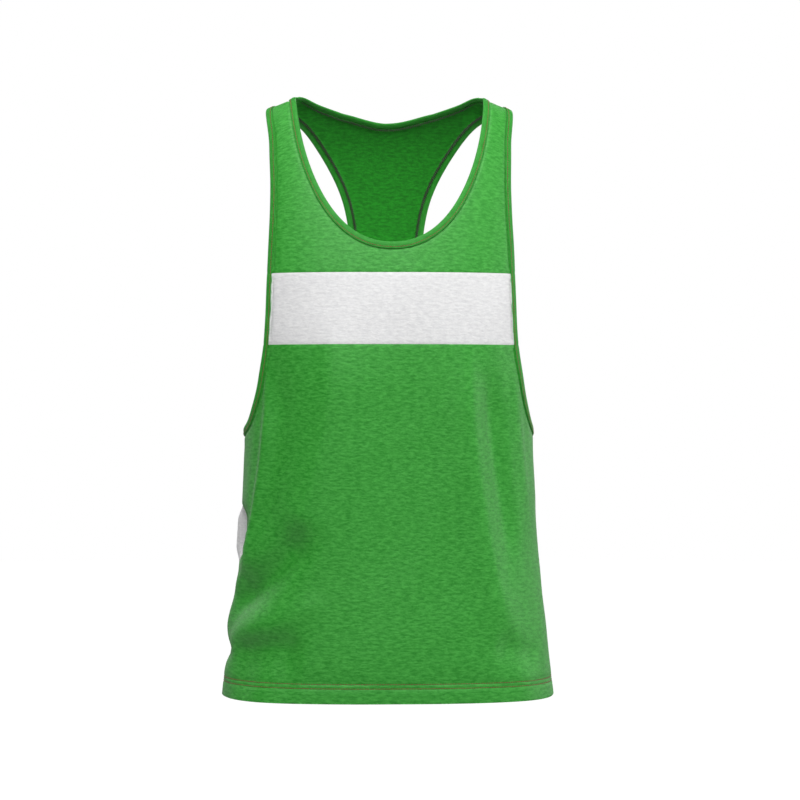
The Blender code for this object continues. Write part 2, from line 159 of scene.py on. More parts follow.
# Folds of the cloth, each along a line through three spots of the pattern, raised (+) or sunk (-) by its height.
# across and along of its top, its middle and its foot, then its half widths and its height. On the front, the first
# half width is on the side of the smaller across for a fold that runs down, on the lower side for one that runs to
# the viewer's right, and on the upper side for one that runs to the viewer's left.
LEFT_FRONT_FOLDS = (
    (-76.0, 285.0, -80.0, 465.0, -152.0, 650.0, 18.0, 46.0, 6.5),
    (-146.0, 320.0, -154.0, 480.0, -186.0, 600.0, 20.0, 36.0, -8.0),
    (-158.0, 350.0, -168.0, 500.0, -208.0, 640.0, 6.0, 14.0, 8.0),
    (-196.0, 605.0, -220.0, 650.0, -245.0, 705.0, 14.0, 14.0, 6.0),
    (-165.0, 330.0, -200.0, 400.0, -226.0, 465.0, 20.0, 20.0, 2.5),
    (-100.0, 536.0, -146.0, 610.0, -240.0, 656.0, 20.0, 23.0, -17.0),
    (-72.0, 632.0, -140.0, 668.0, -280.0, 716.0, 16.0, 13.0, 3.0),
    (-88.0, 699.0, -142.0, 698.0, -210.0, 708.0, 18.0, 42.0, -10.0),
    (-196.0, 704.0, -230.0, 703.0, -264.0, 702.0, 10.0, 10.0, -5.0),
    (-205.0, 705.0, -228.0, 752.0, -240.0, 820.0, 18.0, 18.0, 3.0),
    (-218.0, 526.0, -217.0, 563.0, -220.0, 602.0, 24.0, 17.0, -14.0),
    (-264.0, 528.0, -264.0, 565.0, -264.0, 604.0, 20.0, 20.0, 7.0),
)
RIGHT_FRONT_FOLDS = (
    (86.0, 300.0, 102.0, 510.0, 138.0, 720.0, 30.0, 12.0, 6.5),
    (112.0, 355.0, 128.0, 480.0, 144.0, 620.0, 11.0, 16.0, -8.0),
    (150.0, 345.0, 163.0, 450.0, 172.0, 545.0, 7.0, 7.0, 2.5),
    (128.0, 610.0, 142.0, 690.0, 164.0, 800.0, 24.0, 14.0, 3.0),
    (110.0, 688.0, 140.0, 698.0, 172.0, 714.0, 18.0, 15.0, -5.0),
    (236.0, 520.0, 236.0, 566.0, 236.0, 612.0, 14.0, 14.0, -7.0),
)
BACK_FOLDS = (
    (-168.0, -455.0, -150.0, -570.0, -175.0, -700.0, 20.0, 20.0, 5.5),
    (-110.0, -430.0, -104.0, -600.0, -122.0, -790.0, 24.0, 24.0, -5.5),
    (20.0, -330.0, 6.0, -470.0, 24.0, -620.0, 19.0, 19.0, 4.0),
    (96.0, -420.0, 112.0, -560.0, 98.0, -720.0, 22.0, 22.0, -5.0),
    (150.0, -470.0, 158.0, -590.0, 136.0, -790.0, 18.0, 18.0, 5.0),
)
SHOULDER_RISES = (
    (-112.0, -60.0, -114.0, -14.0, -118.0, 20.0, 14.0, 14.0, 3.5),
    (112.0, -60.0, 114.0, -14.0, 118.0, 20.0, 14.0, 14.0, 3.5),
)
HEM_PUCKERS = (
    (-150.0, 775.0, 0.0, 778.0, 150.0, 775.0, 20.0, 70.0, -6.0),
    (-125.0, 733.0, -66.0, 731.0, -10.0, 733.0, 6.0, 9.0, -1.3),
    (26.0, 733.0, 70.0, 731.0, 128.0, 734.0, 6.0, 9.0, -1.5),
)
FOLDS = LEFT_FRONT_FOLDS + RIGHT_FRONT_FOLDS + BACK_FOLDS + SHOULDER_RISES + HEM_PUCKERS

# A slow unevenness of the jersey: length across, length along, start and height of each wave
WAVES = (
    (97.0, 310.0, 0.4, 0.30),
    (61.0, 173.0, 1.9, 0.18),
    (41.0, 229.0, 3.6, 0.12),
    (173.0, 83.0, 5.1, 0.16),
    (29.0, 127.0, 2.7, 0.07),
)

FOLD_SPOTS = 41            # spots on the line of a fold
FOLD_REACH = 2.6           # a fold is felt this many half widths away
FOLD_FADE = 0.3            # share of its length in which a fold rises, and dies away again

LATTICE = 5.0              # spacing of the spots that carry a panel's shape
RIM_STEP = 4.5
RIM_LADDER = (1.3, 3.0, 4.4, 5.6, 6.8, 8.2, 10.2)    # rows beside an edge that carry its groove
BINDING_STEP = 2.6
SEAM_DEPTH = 0.45
SEAM_HALF = 1.3
HEM_GROOVE = 0.8
HEM_GROOVE_HALF = 1.7
HEM_SPACING = 4.0
HEM_ROUNDING = 1.6         # height above the fold in which the hem's lower end rounds over
# heights above the fold of the close rows of spots in the hem, which end below the lattice
HEM_ROWS = (0.35, 1.0, 2.2, 4.5, 8.0, 12.0, 15.5, 17.0, 18.0, 19.0, 20.5, 22.0, 23.0, 24.0, 25.3)
HEM_RIM_STOP = 26.5        # no row beside an edge comes nearer to the fold
HEM_LATTICE_STOP = 28.0    # and no spot of the lattice comes nearer than this
HEM_LINE_SPOTS = 240
HEM_LINE_END = 0.4         # the hem's stitching stops this far from the side seam
CREASE_PLACE = 6.4         # the cloth sinks beside a binding, this far in from its own raw edge
CREASE_DEPTH = 1.3
CREASE_HALF = 1.5

# Section of a binding, folded round the raw edge: in from the finished edge, and out from the cloth
BINDING_SECTION = (
    (0.05, -0.45), (0.30, 0.25), (1.00, 0.72), (2.40, 0.92), (4.20, 0.92), (5.60, 0.74), (6.40, 0.52),
    (7.20, 0.66), (8.15, 0.62), (8.40, 0.30), (8.30, 0.08), (5.00, 0.08), (1.60, 0.06), (1.10, -0.45),
    (1.60, -0.98), (5.00, -1.00), (8.30, -1.00), (8.40, -1.25), (8.15, -1.56), (6.40, -1.48), (4.20, -1.82),
    (1.60, -1.68), (0.40, -1.15),
)

STITCH_LENGTH = 2.5
STITCH_GAP = 0.55
STITCH_CUTS = (0.3, 0.7)   # shares of a stitch's length where it has a ring of points
THREAD = 0.46              # radius of the sewing thread
THREAD_SEAT = 0.6          # height of the line of a row of stitches above the cloth, in radii of the thread
TOPSTITCH_LIFT = 0.52      # top of the binding where it is sewn, above the cloth
CHAIN_PITCH = 2.6          # the looped chain on the inside of a seam
CHAIN_HALF = 1.5
CHAIN_STEPS = 8            # rings of points in one loop
CHAIN_CORNERS = 5
CHAIN_PLACE = BINDING_WIDTH + 0.2    # in from the finished edge
CHAIN_DROP = 2.85          # under the outer face, which clears the cloth where it sinks beside the binding

# Fibres and loops of the jersey to the metre, across and along
LONG_FIBRES = (110.0, 330.0)
SHORT_FIBRES = (190.0, 430.0)
FINE_FIBRES = (420.0, 900.0)
KNIT_COLUMNS = 1100.0
KNIT_ROWS = 1400.0

# --- the form -----------------------------------------------------------------------------------------


def unit(vectors):
    """Directions with a length of 1."""
    return vectors / np.linalg.norm(vectors, axis=-1, keepdims=True)


def dot(first, second):
    return np.sum(first * second, axis=-1)


def pairs(first, second):
    """A list of spots from two measures, each spread over the other's rows or columns."""
    return np.stack(np.broadcast_arrays(first, second), axis=-1).reshape(-1, 2)


def smooth_step(low, high, value):
    """Soft change from 0 at low to 1 at high."""
    part = np.clip((value - low) / (high - low), 0.0, 1.0)
    return part * part * (3.0 - 2.0 * part)


def read_form(column, along):
    """One column of the form's table at any place along the cloth, on a smooth curve through its rows."""
    places = FORM[:, 0]
    values = FORM[:, column]
    slopes = np.gradient(values, places)
    if column == DROP:
        slopes[0] = 0.0            # the cloth lies level on the ridge
    distance = np.abs(along)
    row = np.clip(np.searchsorted(places, distance) - 1, 0, len(places) - 2)
    gap = places[row + 1] - places[row]
    part = (distance - places[row]) / gap
    rest = 1.0 - part
    start = (1.0 + 2.0 * part) * rest**2 * values[row] + part * rest**2 * gap * slopes[row]
    end = (3.0 - 2.0 * part) * part**2 * values[row + 1] - rest * part**2 * gap * slopes[row + 1]
    return start + end


def ring_reach(turn):
    """How far the rounded-square ring reaches at an angle, for a half width and a depth of 1."""
    total = np.abs(np.sin(turn))**RING_POWER + np.abs(np.cos(turn))**RING_POWER
    return total**(-1.0 / RING_POWER)


TURNS = np.linspace(0.0, math.pi, 2881)
PATTERN_X = PATTERN_HALF * ring_reach(TURNS) * np.sin(TURNS)
PATTERN_Y = PATTERN_DEPTH * ring_reach(TURNS) * np.cos(TURNS)
GIRTHS = np.append(0.0, np.cumsum(np.hypot(np.diff(PATTERN_X), np.diff(PATTERN_Y))))
HALF_GIRTH = GIRTHS[-1]
SIDE_SEAM = HALF_GIRTH / 2.0


def form_points(across, along):
    """Spots of the pattern laid over the smooth form, as an array of x, y, z."""
    turn = np.interp(np.abs(across), GIRTHS, TURNS)
    reach = ring_reach(turn)
    x = np.sign(across) * read_form(HALF, along) * reach * np.sin(turn)
    forward = np.where(along < 0.0, -1.0, 1.0) * reach * np.cos(turn)
    side = read_form(SIDE, along)
    depth = np.where(forward > 0.0, read_form(FRONT, along) + side, read_form(BACK, along) - side)
    y = side - depth * forward
    past = np.abs(x) - SLOPE_START
    ramp = SHOULDER_SLOPE * (past + np.hypot(past, SLOPE_SOFTNESS)) / 2.0
    z = -read_form(DROP, along) - ramp * (1.0 - smooth_step(SLOPE_FADE_TOP, SLOPE_FADE_FOOT, np.abs(along)))
    return np.stack((x, y, z), axis=-1)


def slopes_of(points, across, along):
    """How a surface runs for each unit across and along."""
    step = 0.8
    round_form = (points(across + step, along) - points(across - step, along)) / (2.0 * step)
    down_form = (points(across, along + step) - points(across, along - step)) / (2.0 * step)
    return round_form, down_form


def normals_of(points, across, along):
    """Outward directions of a surface that is given as a function of across and along."""
    round_form, down_form = slopes_of(points, across, along)
    return unit(np.cross(down_form, round_form))


def other_face(across, along):
    """The same spot measured from the other face's centre line, round the side."""
    return np.sign(across) * (HALF_GIRTH - np.abs(across)), -along


def fold_lift(across, along, fold):
    """Height that one fold gives to spots of the pattern."""
    top_a, top_l, mid_a, mid_l, foot_a, foot_l, first_width, second_width, height = fold
    share = np.linspace(0.0, 1.0, FOLD_SPOTS)
    rest = 1.0 - share
    pull_a = 2.0 * mid_a - (top_a + foot_a) / 2.0
    pull_l = 2.0 * mid_l - (top_l + foot_l) / 2.0
    line_a = rest**2 * top_a + 2.0 * share * rest * pull_a + share**2 * foot_a
    line_l = rest**2 * top_l + 2.0 * share * rest * pull_l + share**2 * foot_l
    lift = np.zeros(np.shape(across))
    reach = FOLD_REACH * max(first_width, second_width)
    near = (across > line_a.min() - reach) & (across < line_a.max() + reach)
    near &= (along > line_l.min() - reach) & (along < line_l.max() + reach)
    if near.any():
        offset_a = np.subtract.outer(across[near], line_a)
        offset_l = np.subtract.outer(along[near], line_l)
        nearest = np.argmin(np.hypot(offset_a, offset_l), axis=-1)
        pick = (np.arange(len(nearest)), nearest)
        offset_a, offset_l = offset_a[pick], offset_l[pick]
        ahead_a, ahead_l = np.gradient(line_a)[nearest], np.gradient(line_l)[nearest]
        # on from the nearest of the line's spots to the place right beside it
        on = (offset_a * ahead_a + offset_l * ahead_l) / (ahead_a**2 + ahead_l**2)
        on = np.clip(nearest + on, 0.0, len(share) - 1.0) - nearest
        distance = np.hypot(offset_a - on * ahead_a, offset_l - on * ahead_l)
        turned = ahead_a * offset_l - ahead_l * offset_a
        on_line = (nearest + on) / (len(share) - 1.0)
        fade = smooth_step(0.0, FOLD_FADE, on_line) * smooth_step(0.0, FOLD_FADE, 1.0 - on_line)
        width = np.where(turned > 0.0, first_width, second_width)
        lift[near] = height * fade * np.exp(-(distance / width)**2)
    return lift


def seam_groove(across, along):
    """How deep the joins between panels sink, and the rows of stitching in the hem."""
    levels = np.array((CHEST_BAND_TOP, CHEST_BAND_FOOT, BACK_BAND_TOP, BACK_BAND_FOOT, SHOULDER_SEAM))
    away = np.abs(np.subtract.outer(along, levels)).min(axis=-1)
    side = np.where(np.abs(along) > ARMHOLE_BASE, np.abs(SIDE_SEAM - np.abs(across)), 99.0)
    groove = SEAM_DEPTH * np.exp(-(np.minimum(away, side) / SEAM_HALF)**2)
    for height in HEM_STITCHES:
        row = np.abs(np.abs(along) - (BODY_LENGTH - height))
        groove = groove + HEM_GROOVE * np.exp(-(row / HEM_GROOVE_HALF)**2)
    return groove


def slow_waves(across, along):
    """The slow unevenness of worn jersey."""
    lift = np.zeros(np.shape(across))
    for wide, tall, phase, height in WAVES:
        bend = 0.8 * np.sin(along / (0.37 * tall) + 2.0 * phase)
        lift = lift + height * np.sin(2.0 * math.pi * (across / wide + along / tall) + phase + bend)
    quiet = smooth_step(120.0, 330.0, np.abs(along))
    return lift * (0.3 + 0.7 * quiet)


def cloth_lift(across, along):
    """How far the cloth stands off the smooth form."""
    far_across, far_along = other_face(across, along)
    lift = slow_waves(np.where(along < 0.0, far_across, across), np.abs(along)) - seam_groove(across, along)
    for fold in FOLDS:
        lift = lift + fold_lift(across, along, fold) + fold_lift(far_across, far_along, fold)
    return lift


def cloth_points(across, along):
    """Spots of the pattern on the outer face of the cloth, with its folds."""
    across, along = np.asarray(across, float), np.asarray(along, float)
    lift = cloth_lift(across, along)
    return form_points(across, along) + normals_of(form_points, across, along) * lift[..., None]


def cloth_normals(across, along):
    return normals_of(cloth_points, across, along)


# --- edges on the pattern -----------------------------------------------------------------------------


def across_at(out, along):
    """Pattern measure of a spot that lies "out" from the centre line in space."""
    share = np.clip(out / read_form(HALF, along), 0.0, 1.0)
    forward = (1.0 - share**RING_POWER)**(1.0 / RING_POWER)
    return np.interp(np.arctan2(share, forward), TURNS, GIRTHS)


def looped(line):
    """A closed line with its first spot again at its end."""
    return np.vstack((line, line[:1]))


def line_lengths(line):
    """Distance of each spot from the start of its line."""
    return np.append(0.0, np.cumsum(np.linalg.norm(np.diff(line, axis=0), axis=1)))


def read_along(values, lengths, places):
    """What is known at some lengths along a line, read at other places along it."""
    return np.stack([np.interp(places, lengths, values[:, k]) for k in range(values.shape[1])], axis=1)


def walk(line, places):
    """Spots of a line at shares of its length."""
    lengths = line_lengths(line)
    return read_along(line, lengths, places * lengths[-1])


def even_curve(spots, spacing):
    """Smooth curve through spots, read at even spacing. The first and the last spot only guide it."""
    spots = np.asarray(spots)
    share = np.linspace(0.0, 1.0, 24, endpoint=False)[:, None]
    rest = 1.0 - share
    pieces = []
    for before, start, end, after in zip(spots, spots[1:], spots[2:], spots[3:]):
        chord = np.linalg.norm(end - start)
        lead = (end - before) / (np.linalg.norm(start - before) + chord) * chord
        tail = (after - start) / (np.linalg.norm(after - end) + chord) * chord
        curve = (1.0 + 2.0 * share) * rest**2 * start + share * rest**2 * lead
        pieces.append(curve + (3.0 - 2.0 * share) * share**2 * end - rest * share**2 * tail)
    line = np.vstack(pieces + [spots[-2:-1]])
    count = max(2, round(line_lengths(line)[-1] / spacing))
    return walk(line, np.linspace(0.0, 1.0, count + 1))


def neck_curve():
    """One side of the neck edge, from the centre front over the ridge to the centre back."""
    turns = np.linspace(0.0, math.pi / 2.0, 19)[1:-1]
    halves = []
    # the back is left open near its centre, so that the curve rounds over there
    for turn, depth, power in ((turns, NECK_FRONT, NECK_FRONT_POWER), (turns[:-6], NECK_BACK, NECK_BACK_POWER)):
        out = NECK_HALF * np.cos(turn)**(2.0 / power)
        along = depth * np.sin(turn)**(2.0 / power)
        halves.append(np.stack((across_at(out, along), along), axis=1))
    front, back = halves
    front = front[::-1]
    back = back * np.array((1.0, -1.0))
    mirror = np.array((-1.0, 1.0))
    ridge = (float(across_at(NECK_HALF, 0.0)), 0.0)
    spots = [front[0] * mirror, (0.0, NECK_FRONT), *front, ridge, *back, (0.0, -NECK_BACK), back[-1] * mirror]
    return even_curve(spots, BINDING_STEP)


def armhole_curve():
    """The armhole edge, from the side seam up the front, over the ridge and down the back to the side seam."""
    spots = [(float(across_at(out, along)), along) for out, along in ARMHOLE]
    first, last = spots[0], spots[-1]
    before = (HALF_GIRTH - last[0], -last[1])
    after = (HALF_GIRTH - first[0], -first[1])
    spots = [before, (SIDE_SEAM, ARMHOLE_BASE), *spots, (SIDE_SEAM, -ARMHOLE_BASE), after]
    return even_curve(spots, BINDING_STEP)


def closed_edge(spots, inward_sign):
    """Points, outward directions and directions into the panel, round a closed finished edge."""
    points = cloth_points(spots[:, 0], spots[:, 1])
    normals = cloth_normals(spots[:, 0], spots[:, 1])
    ahead = np.roll(points, -2, axis=0) - np.roll(points, 2, axis=0)
    return points, normals, unit(np.cross(normals, ahead) * inward_sign)


def moved_in(spots, points, inward, distance):
    """Where a line at a distance in from a finished edge lies on the pattern."""
    target = points + inward * distance
    for _ in range(3):
        pull = target - cloth_points(spots[:, 0], spots[:, 1])
        round_form, down_form = slopes_of(cloth_points, spots[:, 0], spots[:, 1])
        rr, dd, rd = dot(round_form, round_form), dot(down_form, down_form), dot(round_form, down_form)
        pull_r, pull_d = dot(pull, round_form), dot(pull, down_form)
        shift = np.stack((pull_r * dd - pull_d * rd, pull_d * rr - pull_r * rd), axis=1)
        spots = spots + shift / (rr * dd - rd**2)[:, None]
    return spots


# --- meshes -------------------------------------------------------------------------------------------


def face_outwards(piece):
    """Turns every face of a closed mesh outwards."""
    shell = bmesh.new()
    shell.from_mesh(piece.data)
    bmesh.ops.recalc_face_normals(shell, faces=shell.faces)
    shell.to_mesh(piece.data)
    shell.free()


def make_object(name, points, faces, uv, materials, face_materials=None):
    """A closed mesh in metres at the origin. Each point's pattern place, in millimetres, becomes its UV."""
    mesh = bpy.data.meshes.new(name)
    mesh.from_pydata([tuple(point) for point in np.asarray(points) * METRES], [], faces)
    corners = np.zeros(len(mesh.loops), int)
    mesh.loops.foreach_get("vertex_index", corners)
    layer = mesh.uv_layers.new(name="pattern")
    layer.data.foreach_set("uv", (np.asarray(uv, float)[corners] * METRES).ravel())
    for material in materials:
        mesh.materials.append(material)
    if face_materials is not None:
        mesh.polygons.foreach_set("material_index", np.asarray(face_materials, np.int32))
    mesh.shade_smooth()
    mesh.set_sharp_from_angle(angle=math.radians(55.0))
    mesh.validate()
    piece = bpy.data.objects.new(name, mesh)
    bpy.context.scene.collection.objects.link(piece)
    face_outwards(piece)
    return piece


def wall_thickness(along):
    """Single cloth, and double in the turned-up hem, which narrows to its fold."""
    from_fold = BODY_LENGTH - np.abs(along)
    double = smooth_step(HEM_DEPTH + 1.0, HEM_DEPTH - 1.0, from_fold)
    return CLOTH + (HEM_WALL - CLOTH) * double


def inside_outline(spots, outline):
    """Which spots lie inside an outline, and how far each is from it."""
    starts, ends = outline, np.roll(outline, -1, axis=0)
    sides = ends - starts
    rise = np.where(sides[:, 1] == 0.0, 1.0, sides[:, 1])
    inside = np.zeros(len(spots), bool)
    away = np.zeros(len(spots))
    for first in range(0, len(spots), 4000):
        part = spots[first:first + 4000, None, :]
        share = dot(part - starts, sides) / dot(sides, sides)
        feet = starts + sides * np.clip(share, 0.0, 1.0)[:, :, None]
        away[first:first + 4000] = np.linalg.norm(part - feet, axis=2).min(axis=1)
        passes = (starts[:, 1] > part[:, :, 1]) != (ends[:, 1] > part[:, :, 1])
        crossing = starts[:, 0] + (part[:, :, 1] - starts[:, 1]) * sides[:, 0] / rise
        inside[first:first + 4000] = np.sum(passes & (part[:, :, 0] < crossing), axis=1) % 2 == 1
    return inside, away


def lattice_spots(low, high, spacing):
    """An even lattice of spots between two corners of the pattern."""
    rows = np.arange(low[1], high[1], spacing * math.sqrt(0.75))
    columns = np.arange(low[0], high[0], spacing)
    across = columns[None, :] + (np.arange(len(rows)) % 2)[:, None] * spacing / 2.0
    return pairs(across, rows[:, None])


def hem_rows(low, high):
    """Close rows of spots in the hem, for its stitching and its fold."""
    columns = np.arange(low[0] + HEM_SPACING / 2.0, high[0], HEM_SPACING)
    levels = (BODY_LENGTH - np.array(HEM_ROWS)) * (1.0 if high[1] > 0.0 else -1.0)
    return pairs(columns[None, :], levels[:, None])


def fill_outline(outline):
    """Triangles over an outline on the pattern, with inner spots on an even lattice and close rows by its rim."""
    low, high = outline.min(axis=0), outline.max(axis=0)
    inner = lattice_spots(low, high, LATTICE)
    reaches_hem = max(abs(low[1]), abs(high[1])) > BODY_LENGTH - 1.0
    if reaches_hem:
        inner = inner[BODY_LENGTH - np.abs(inner[:, 1]) > HEM_LATTICE_STOP]
    inside, away = inside_outline(inner, outline)
    chosen = [outline, inner[inside & (away > RIM_LADDER[-1] + 0.4 * LATTICE)]]
    ahead = unit(np.roll(outline, -1, axis=0) - np.roll(outline, 1, axis=0))
    normals = np.stack((-ahead[:, 1], ahead[:, 0]), axis=1)
    for distance in RIM_LADDER:
        for sign in (1.0, -1.0):
            row = outline + normals * distance * sign
            inside, away = inside_outline(row, outline)
            keep = inside & (away > 0.93 * distance)
            if reaches_hem:
                keep &= BODY_LENGTH - np.abs(row[:, 1]) > HEM_RIM_STOP
            chosen.append(row[keep])
    if reaches_hem:
        rows = hem_rows(low, high)
        inside, away = inside_outline(rows, outline)
        chosen.append(rows[inside & (away > 0.3)])
    rim = [(k, (k + 1) % len(outline)) for k in range(len(outline))]
    inside_rim_only = 1
    filled = delaunay_2d_cdt(np.vstack(chosen).tolist(), rim, [], inside_rim_only, 0.001)
    return np.array([tuple(spot) for spot in filled[0]]), [list(face) for face in filled[2]]


def binding_crease(spots, bound_lines):
    """How deep the cloth sinks beside the bindings. The raw edges inside them are given as closed lines."""
    away = np.min([inside_outline(spots, line)[1] for line in bound_lines], axis=0)
    return CREASE_DEPTH * np.exp(-((away - CREASE_PLACE) / CREASE_HALF)**2)


def make_panel(name, outline, bound_lines, outside, inside):
    """A thin cloth wall over an outline on the pattern, with its own inner face."""
    spots, triangles = fill_outline(outline)
    outer = cloth_points(spots[:, 0], spots[:, 1])
    normals = cloth_normals(spots[:, 0], spots[:, 1])
    outer = outer - normals * binding_crease(spots, bound_lines)[:, None]
    thickness = wall_thickness(spots[:, 1])
    # the hem's lower end rounds over
    from_fold = BODY_LENGTH - np.abs(spots[:, 1])
    rounding = 0.5 * HEM_WALL * np.clip(1.0 - from_fold / HEM_ROUNDING, 0.0, 1.0)**2
    outer = outer - normals * rounding[:, None]
    inner = outer - normals * (thickness - 2.0 * rounding)[:, None]
    count = len(spots)
    sides = [(face[k], face[(k + 1) % 3]) for face in triangles for k in range(3)]
    known = set(sides)
    rims = [side for side in sides if side[::-1] not in known]
    faces = triangles + [[corner + count for corner in reversed(face)] for face in triangles]
    faces += [[end, start, start + count, end + count] for start, end in rims]
    slots = [0] * len(triangles) + [1] * len(triangles) + [0] * len(rims)
    return make_object(name, np.vstack((outer, inner)), faces, np.vstack((spots, spots)), (outside, inside), slots)


def make_tube(name, rings, places, rounds, material):
    """A closed tube from its rings of points. Places along it and round it become its UV."""
    count, sides = rings.shape[:2]
    faces = []
    for ring, side in np.ndindex(count, sides):
        after = (ring + 1) % count
        beside = (side + 1) % sides
        faces.append([ring * sides + side, ring * sides + beside, after * sides + beside, after * sides + side])
    return make_object(name, rings.reshape(-1, 3), faces, pairs(places[:, None], rounds[None, :]), (material,))


def make_binding(name, edge, material):
    """A jersey strip folded round a finished edge, with its two edges caught by the topstitch."""
    points, normals, inward = edge
    place = np.arange(len(points)) * BINDING_STEP
    section = np.array(BINDING_SECTION)
    ripple = 0.10 * np.sin(place / 2.9 + 1.4 * np.sin(place / 11.0)) + 0.08 * np.sin(place / 5.3 + 2.0)
    drift = 0.16 * np.sin(place / 37.0) + 0.10 * np.sin(place / 13.0 + 1.0)
    rings = []
    for wide, high in section:
        puff = ripple * (1.0 if high > 0.0 else -1.0) * smooth_step(0.5, 3.5, wide)
        shift = drift * smooth_step(3.0, 8.4, wide)
        rings.append(points + inward * (wide + shift)[:, None] + normals * (high + puff)[:, None])
    return make_tube(name, np.stack(rings, axis=1), place, line_lengths(section), material)


# --- outlines of the pieces ---------------------------------------------------------------------------


def place_of(line, column, value):
    """Where a line first passes a value in one of its columns, counted in spots from its start."""
    away = line[:, column] - value
    spot = np.nonzero(away[:-1] * away[1:] <= 0.0)[0][0]
    return spot + away[spot] / (away[spot] - away[spot + 1])


def stretch(line, start, end):
    """The part of a line between two places that are counted in spots."""
    numbers = np.arange(len(line))
    ends = [[np.interp(place, numbers, line[:, k]) for k in range(2)] for place in (start, end)]
    inside = line[(numbers > start + 0.05) & (numbers < end - 0.05)]
    return np.vstack((ends[:1], inside, ends[1:]))


def straight(start, end):
    steps = max(1, round(np.linalg.norm(np.subtract(end, start)) / RIM_STEP))
    return np.linspace(start, end, steps + 1)


def joined(*lines):
    """One closed outline from lines that follow each other end to end."""
    return np.vstack([line[:-1] for line in lines])


def mirrored(line):
    return line[::-1] * np.array((-1.0, 1.0))


def side_line(arm, top, foot):
    """Side edge of a piece that runs from side to side: down the armhole, then down the side seam."""
    seam = SIDE_SEAM - SEAM_GAP / 2.0
    under_arm = place_of(arm, 0, seam)
    base = np.interp(under_arm, np.arange(len(arm)), arm[:, 1])
    parts = []
    if abs(top) < abs(base):
        lower = max(under_arm, place_of(arm, 1, foot) if abs(foot) < abs(base) else 0.0)
        parts.append(stretch(arm, lower, place_of(arm, 1, top))[::-1])
    if abs(foot) > abs(base):
        start = max(abs(top), abs(base))
        parts.append(straight((seam, start * np.sign(foot)), (seam, foot))[len(parts):])
    return np.vstack(parts)


def full_width_outline(arms, top, foot):
    """Outline of a piece that runs from side to side between two levels."""
    right = side_line(arms[1], top, foot)
    left = mirrored(side_line(arms[-1], top, foot))
    return joined(right, straight(right[-1], left[0]), left, straight(left[-1], right[0]))


def yoke_outline(necks, arms, foot, seam):
    """Outline of a piece with the neck, both shoulder seams, the armholes and a level foot."""
    halves = []
    for side in (1, -1):
        neck = stretch(necks[side], 0.0, place_of(necks[side], 1, seam))
        arm = side_line(arms[side], seam, foot)
        halves.append(np.vstack((joined(neck, straight(neck[-1], arm[0])), arm)))
    right, left = halves
    left = mirrored(left)
    return joined(right, straight(right[-1], left[0]), left)


def neck_edge():
    """The closed neck edge, and where the cloth's raw edge lies inside the binding on each side."""
    half = neck_curve()
    mirror = np.array((-1.0, 1.0))
    spots = np.vstack((half, half[1:-1][::-1] * mirror))
    edge = closed_edge(spots, -1.0)
    line = moved_in(spots, edge[0], edge[2], BINDING_TUCK)
    numbers = np.arange(len(half))
    lines = {}
    for side in (1, -1):
        lines[side] = line[numbers * side % len(spots)] * np.array((side, 1.0))
        lines[side][[0, -1], 0] = 0.0
    return edge, lines


def armhole_edge(side):
    """One closed armhole edge, and where the cloth's raw edge lies inside its binding."""
    spots = armhole_curve() * np.array((side, 1.0))
    edge = closed_edge(spots[:-1], side)
    line = moved_in(spots, looped(edge[0]), looped(edge[2]), BINDING_TUCK) * np.array((side, 1.0))
    line[[0, -1], 0] = SIDE_SEAM
    return edge, line


# --- sewing -------------------------------------------------------------------------------------------


def stitch_shape():
    """One stitch, lying along X from 0 to 1, as its points and faces: a swelling thread that dives at both ends."""
    bpy.ops.object.select_all(action="DESELECT")
    bpy.ops.mesh.primitive_cylinder_add(vertices=6, radius=1.0, depth=1.0, end_fill_type="TRIFAN")
    stitch = bpy.context.object
    bpy.ops.object.mode_set(mode="EDIT")
    bpy.ops.mesh.select_all(action="SELECT")
    bpy.ops.transform.rotate(value=math.pi / 2.0, orient_axis="Y", center_override=(0.0, 0.0, 0.0))
    bpy.ops.transform.translate(value=(0.5, 0.0, 0.0))
    for cut in STITCH_CUTS:
        bpy.ops.mesh.select_all(action="SELECT")
        bpy.ops.mesh.bisect(plane_co=(cut, 0.0, 0.0), plane_no=(1.0, 0.0, 0.0))
    bpy.ops.object.mode_set(mode="OBJECT")
    points = np.array([vertex.co[:] for vertex in stitch.data.vertices])
    faces = [list(face.vertices) for face in stitch.data.polygons]
    bpy.data.objects.remove(stitch, do_unlink=True)
    middle = 1.0 - (2.0 * points[:, 0] - 1.0)**2
    points[:, 1:] *= (0.45 + 0.62 * middle)[:, None]
    points[:, 2] += 1.1 * (middle - 0.75)
    return points, faces


def stitch_row(name, line, normals, closed, material):
    """Stitches laid end to end along a line, as one piece. Points and outward directions are given."""
    shape, shape_faces = stitch_shape()
    if closed:
        line, normals = looped(line), looped(normals)
    lengths = line_lengths(line)
    count = round(lengths[-1] / (STITCH_LENGTH + STITCH_GAP))
    pitch = lengths[-1] / count
    starts = np.arange(count) * pitch
    heads = read_along(line, lengths, starts)
    tails = read_along(line, lengths, starts + pitch - STITCH_GAP)
    ups = read_along(normals, lengths, starts + pitch / 2.0)
    runs = tails - heads
    ups = unit(ups - runs * (dot(ups, runs) / dot(runs, runs))[:, None])
    sides = unit(np.cross(ups, runs))
    points = (heads[:, None, :] + runs[:, None, :] * shape[None, :, :1]
              + sides[:, None, :] * shape[None, :, 1:2] * THREAD + ups[:, None, :] * shape[None, :, 2:3] * THREAD)
    size = len(shape)
    faces = [[corner + k * size for corner in face] for k in range(count) for face in shape_faces]
    uv = pairs(starts[:, None] + shape[None, :, 0] * STITCH_LENGTH, shape[None, :, 1] * THREAD)
    return make_object(name, points.reshape(-1, 3), faces, uv, (material,))


